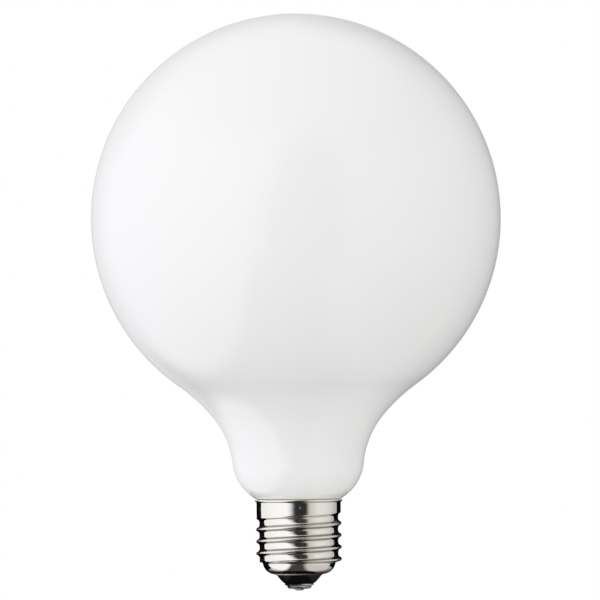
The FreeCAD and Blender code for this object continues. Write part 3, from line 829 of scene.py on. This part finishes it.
# %% The solder's skin
smear = use_group(tree, smudges, Scale=420.0, Contrast=0.12)["Mask"]
tree.links.new(blend_colours(tree, work_out(tree, "MULTIPLY", smear, 0.25), tone, STAIN), socket["Base Color"])
tree.links.new(spread(tree, smear, 0, 1, 0.26, 0.42), socket["Roughness"])
tree.links.new(bump(tree, cloud_noise(tree, place, 900.0, 2.0), 0.2, 0.0002), socket["Normal"])
dress(solder, alloy)

# %% [markdown]
# ## Cement
#
# The cement is a pale, matt putty with fine grains in it. So little of it shows that grain as displacement would be
# wasted, and one smudge group gives both the colour of the grains and their bumps.

# %% The cement
PUTTY = (0.80, 0.78, 0.71, 1)
DARKER_PUTTY = (0.68, 0.66, 0.59, 1)
putty, tree, socket = new_material("cement", {"Roughness": 0.9})
grain = use_group(tree, smudges, Scale=900.0, Contrast=0.2)["Mask"]
tree.links.new(blend_colours(tree, grain, PUTTY, DARKER_PUTTY), socket["Base Color"])
tree.links.new(bump(tree, grain, 0.5, 0.0002), socket["Normal"])
dress(cement, putty)

# %% [markdown]
# ## The studio
#
# A mirror-like cap shows the whole room, so the room is what has to be designed. Lamps with soft boxes could be set
# up round the bulb, but each one would also light the glass, and the two could never be set apart. So the room is
# drawn on the world instead, as a function of direction: how far round, and how far up. Only reflections see it. The
# camera sees plain white, and matt surfaces are lit by an even sky.

# %% Directions on the world
LIGHT_SLANT = 0.27
world = bpy.data.worlds.new("studio")
bpy.context.scene.world = world
world.use_nodes = True
tree = world.node_tree
tree.nodes.clear()

direction = add_node(tree, "ShaderNodeTexCoord").outputs["Generated"]
axes = parts_of(tree, direction)
around = work_out(tree, "ARCTAN2", axes[0], work_out(tree, "MULTIPLY", axes[1], -1.0))
up = work_out(tree, "ARCSINE", axes[2])
above_level = work_out(tree, "MAXIMUM", up, 0.0)
slanted = work_out(tree, "SUBTRACT", around, work_out(tree, "MULTIPLY", above_level, LIGHT_SLANT))
print("directions:", len(tree.nodes), "nodes")

# %% [markdown]
# There is a large light on the left and a weaker one on the right, white behind, and darkness behind the camera. A
# colour ramp over the angle round the room holds each light, with soft shoulders where it ends. The left light's
# edges lean above eye level, so that light is given a slanted angle.

# %% The lights round the room
# Degrees round from the camera, positive to the right, with the light that comes from there
LEFT_LIGHT = [
    (-180, (0.60, 0.60, 0.61)), (-165, (0.72, 0.72, 0.73)), (-145, (0.72, 0.72, 0.73)), (-132, (0.94, 0.95, 0.97)),
    (-120, (1.03, 1.04, 1.07)), (-95, (1.08, 1.09, 1.12)), (-65, (1.17, 1.19, 1.23)), (-33, (1.16, 1.19, 1.23)),
    (-24, (0.93, 0.95, 1.00)), (-18, (0.51, 0.54, 0.60)), (-13, (0.10, 0.11, 0.13)), (-8, (0.0, 0.0, 0.0)),
]
RIGHT_LIGHT = [
    (19, (0.0, 0.0, 0.0)), (23, (0.12, 0.09, 0.07)), (28, (0.55, 0.50, 0.44)), (32, (0.68, 0.66, 0.61)),
    (55, (0.90, 0.92, 0.90)), (75, (0.87, 0.89, 0.88)), (100, (0.75, 0.77, 0.76)), (125, (0.50, 0.51, 0.51)),
    (145, (0.36, 0.36, 0.36)), (170, (0.26, 0.26, 0.26)), (180, (0.60, 0.60, 0.61)),
]
FULL_LIGHT = 1.25
BLACK = (0, 0, 0, 1)


def ring_of_light(tree, angle, lights):
    """A light as a ramp of colours over an angle. A ramp stops at 1, so it holds shares of the full light."""
    ramp = add_node(tree, "ShaderNodeValToRGB", {0: spread(tree, angle, -math.pi, math.pi, smooth=False)})
    stops = ramp.color_ramp.elements
    while len(stops) < len(lights):
        stops.new(1.0)
    for stop, (degrees, light) in zip(list(stops), lights):
        stop.position = (degrees + 180) / 360
        stop.color = (*[value / FULL_LIGHT for value in light], 1)
    return ramp.outputs["Color"]


def add_colours(tree, first, second):
    """Two lights on top of each other."""
    return add_node(tree, "ShaderNodeVectorMath", {0: first, 1: second}, operation="ADD").outputs[0]


def fade_up(tree, first, last, new_low=0.0, new_high=1.0):
    """A mask that fades in between two heights, in degrees over level."""
    return spread(tree, up, math.radians(first), math.radians(last), new_low, new_high)


right_ring = blend_colours(tree, fade_up(tree, 20, 70, 0, 0.6), ring_of_light(tree, around, RIGHT_LIGHT), BLACK)
room = add_colours(tree, ring_of_light(tree, slanted, LEFT_LIGHT), right_ring)
print("room drawn with", len(LEFT_LIGHT) + len(RIGHT_LIGHT), "stops")

# %% [markdown]
# The rounded base and the lower sides of the thread look down. There they see a table: dark near the middle, white
# to the left, paler grey to the right, and dimmer further back. Straight down it is dark. High up, the room closes in
# an even grey, and just above level at the back it is a little darker.

# %% The table and the ceiling
TABLE_DARK = (0.030, 0.024, 0.020, 1)
TABLE_LEFT = (0.92, 0.93, 0.945, 1)
TABLE_LEFT_BACK = (0.70, 0.70, 0.71, 1)
TABLE_RIGHT = (0.52, 0.505, 0.485, 1)
TABLE_RIGHT_BACK = (0.25, 0.25, 0.25, 1)
CEILING = (0.62, 0.61, 0.59, 1)
STRAIGHT_DOWN = (0.026, 0.020, 0.016, 1)
STRAY_LIGHT = (0.024, 0.024, 0.026)

back = spread(tree, axes[1], 0.45, 0.80)
left_white = blend_colours(tree, back, TABLE_LEFT, TABLE_LEFT_BACK)
right_white = blend_colours(tree, back, TABLE_RIGHT, TABLE_RIGHT_BACK)
table = add_colours(tree, blend_colours(tree, spread(tree, axes[0], -0.36, -0.52), TABLE_DARK, left_white),
                    blend_colours(tree, spread(tree, axes[0], 0.12, 0.42), BLACK, right_white))
room = blend_colours(tree, fade_up(tree, -12, -35), room, table)
high_back = work_out(tree, "MULTIPLY", spread(tree, axes[1], 0.50, 0.85, 0, 0.22), fade_up(tree, 8, 22))
room = blend_colours(tree, high_back, room, BLACK)
room = blend_colours(tree, fade_up(tree, 30, 60), room, CEILING)
room = blend_colours(tree, fade_up(tree, -72, -88), room, STRAIGHT_DOWN)
room = add_colours(tree, room, STRAY_LIGHT)
mirrored = add_node(tree, "ShaderNodeBackground", {"Color": room, "Strength": FULL_LIGHT}).outputs[0]
print("the room takes", len(tree.nodes), "nodes")

# %% [markdown]
# The sky for matt surfaces is nearly even. It is a touch stronger and cooler on the left, a touch stronger from above
# than from below, and weakest straight up and straight down. Light Path tells who is looking: the camera, a
# reflection, or a matt surface.

# %% The sky, and who sees what
SKY = 1.09
SKY_LEAN = (-0.19, -0.033, 0.057)
SKY_FALL = 0.27
WARM_SIDE = (1, 1, 0.98, 1)
COOL_SIDE = (1, 1, 1.02, 1)
WHITE = (1, 1, 1, 1)
lean = add_node(tree, "ShaderNodeVectorMath", {0: direction, 1: SKY_LEAN}, operation="DOT_PRODUCT").outputs["Value"]
fall = work_out(tree, "MULTIPLY", work_out(tree, "MULTIPLY", axes[2], axes[2]), SKY_FALL)
sky = work_out(tree, "SUBTRACT", work_out(tree, "ADD", lean, SKY), fall)
tint = blend_colours(tree, spread(tree, axes[0], 1, -1, smooth=False), WARM_SIDE, COOL_SIDE)
even = add_node(tree, "ShaderNodeBackground", {"Color": tint, "Strength": sky}).outputs[0]
seen = add_node(tree, "ShaderNodeBackground", {"Color": WHITE, "Strength": 1.0}).outputs[0]
rays = add_node(tree, "ShaderNodeLightPath").outputs
by_surface = add_node(tree, "ShaderNodeMixShader", {0: rays["Is Glossy Ray"], 1: even, 2: mirrored}).outputs[0]
by_anyone = add_node(tree, "ShaderNodeMixShader", {0: rays["Is Camera Ray"], 1: by_surface, 2: seen}).outputs[0]
add_node(tree, "ShaderNodeOutputWorld", {"Surface": by_anyone})
print("the world takes", len(tree.nodes), "nodes")

# %% [markdown]
# ## Flags
#
# Bright metal in a white room has no edge. Photographers stand black flags beside it, so that its sides mirror
# something dark, and here two curved ones stand close to the cap. Dark stripes painted on the metal would turn with
# the bulb, which reflections don't. The flags end just under the lip, so the globe hardly sees them, and only
# reflections see them at all.

# %% The black flags
FLAG_RADIUS = 18.0
FLAG_TOP = 27.0
FLAG_POINTS = 16
UNLIT = {"Roughness": 1.0, "Specular IOR Level": 0.0}


def stage_piece(name, points, faces, material):
    """Something of the studio: it is mirrored in the part but never seen or lit itself."""
    mesh = bpy.data.meshes.new(name)
    mesh.from_pydata([Vector(point) * MM for point in points], [], faces)
    piece = bpy.data.objects.new(name, mesh)
    bpy.context.scene.collection.objects.link(piece)
    piece.visible_camera = False
    piece.visible_diffuse = False
    piece.visible_shadow = False
    dress(piece, material)


def beside_cap(degrees, height):
    """A point of the flags, in millimetres."""
    turn = math.radians(degrees)
    return (FLAG_RADIUS * math.sin(turn), -FLAG_RADIUS * math.cos(turn), height)


def make_flag(name, first, last, foot):
    """A curved black card between two directions round from the camera, in degrees."""
    points = [beside_cap(degrees, height) for degrees in np.linspace(first, last, FLAG_POINTS)
              for height in (foot, FLAG_TOP)]
    faces = [(2 * i, 2 * i + 2, 2 * i + 3, 2 * i + 1) for i in range(FLAG_POINTS - 1)]
    stage_piece(name, points, faces, felt)


felt, _, _ = new_material("black_felt", {"Base Color": (0.004, 0.004, 0.004, 1), **UNLIT})
make_flag("flag_left", -86, -144, foot=0.0)
make_flag("flag_right", 89, 144, foot=3.0)

# %% [markdown]
# Two round dark cards do the same for what looks down. One stands low behind the cap and darkens the base and the
# lower flanks of the thread. It fades out towards its rim, so that no hard edge shows in the metal. A small one under
# the tip keeps the insulator black.

# %% The dark cards
CARD_WAY = Vector((-0.12, 0.72, -0.69))
CARD_DISTANCE = 22.0
CARD_RADIUS = 38.0
CARD_CORE = 13.6
TIP_CARD_RADIUS = 9.5
TIP_CARD_DROP = 6.0


def make_card(name, centre, across, along, radius, corners, material):
    """A flat round card, given by its centre and two directions in it."""
    rim = [centre + radius * (across * math.cos(turn) + along * math.sin(turn))
           for turn in np.linspace(0, 2 * math.pi, corners, endpoint=False)]
    stage_piece(name, rim, [tuple(range(corners))], material)


card_centre = Vector((0, 0, 7)) + CARD_WAY * CARD_DISTANCE
card_across = CARD_WAY.orthogonal().normalized()
card_along = CARD_WAY.cross(card_across).normalized()
shade, tree, socket = new_material("fading_card", {"Base Color": (0.02, 0.017, 0.015, 1), **UNLIT})
from_centre = distance_from(tree, place_on_piece(tree), card_centre * MM)
tree.links.new(spread(tree, from_centre, CARD_CORE * MM, CARD_RADIUS * MM, 1, 0, smooth=False), socket["Alpha"])
make_card("card", card_centre, card_across, card_along, CARD_RADIUS, 48, shade)
make_card("tip_card", Vector((0, 0, -TIP_CARD_DROP)), Vector((1, 0, 0)), Vector((0, 1, 0)), TIP_CARD_RADIUS, 32, felt)

# %% [markdown]
# ## The floor
#
# The bulb hangs in the white of the picture, so the floor is a plain pale disc well below it. A curved backdrop would
# do too, but a floor that neither lights nor mirrors can't disturb a finish that was set by the room alone.

# %% The floor
FLOOR_HEIGHT = -0.30
FLOOR_RADIUS = 3.0
floor_form = bmesh.new()
bmesh.ops.create_circle(floor_form, cap_ends=True, radius=FLOOR_RADIUS, segments=96)
floor_mesh = bpy.data.meshes.new("floor")
floor_form.to_mesh(floor_mesh)
floor_form.free()
floor = bpy.data.objects.new("floor", floor_mesh)
floor.location.z = FLOOR_HEIGHT
bpy.context.scene.collection.objects.link(floor)
floor.visible_glossy = False
floor.visible_diffuse = False
paper, _, _ = new_material("floor_paper", {"Base Color": (0.9, 0.9, 0.9, 1), "Roughness": 1.0})
dress(floor, paper)

# %% [markdown]
# ## The camera
#
# The picture was taken from far off with a very long lens: the cap's rim shows as a straight line, not as an oval.
# An orthographic camera would do that too, but a long lens keeps the trace of perspective that is there. The bulb
# stands a touch out of upright in the picture. The camera is rolled by that half a degree instead, so that the bulb
# itself stays on its axis.

# %% The camera
CAMERA_DISTANCE = 4.5747
CAMERA_HEIGHT = 0.0886
CAMERA_SIDE = 0.00103
CAMERA_ROLL = 0.55
LENS = 900.0
SENSOR = 36.0

camera_data = bpy.data.cameras.new("camera")
camera_data.lens = LENS
camera_data.sensor_width = SENSOR
camera = bpy.data.objects.new("camera", camera_data)
bpy.context.scene.collection.objects.link(camera)
camera.location = (CAMERA_SIDE, -CAMERA_DISTANCE, CAMERA_HEIGHT)
camera.rotation_euler = (math.radians(90), math.radians(CAMERA_ROLL), 0)
bpy.context.scene.camera = camera
bpy.context.scene.view_settings.view_transform = "Standard"
print(f"the camera sees {CAMERA_DISTANCE * SENSOR / LENS * 1000:.0f} mm at the bulb")
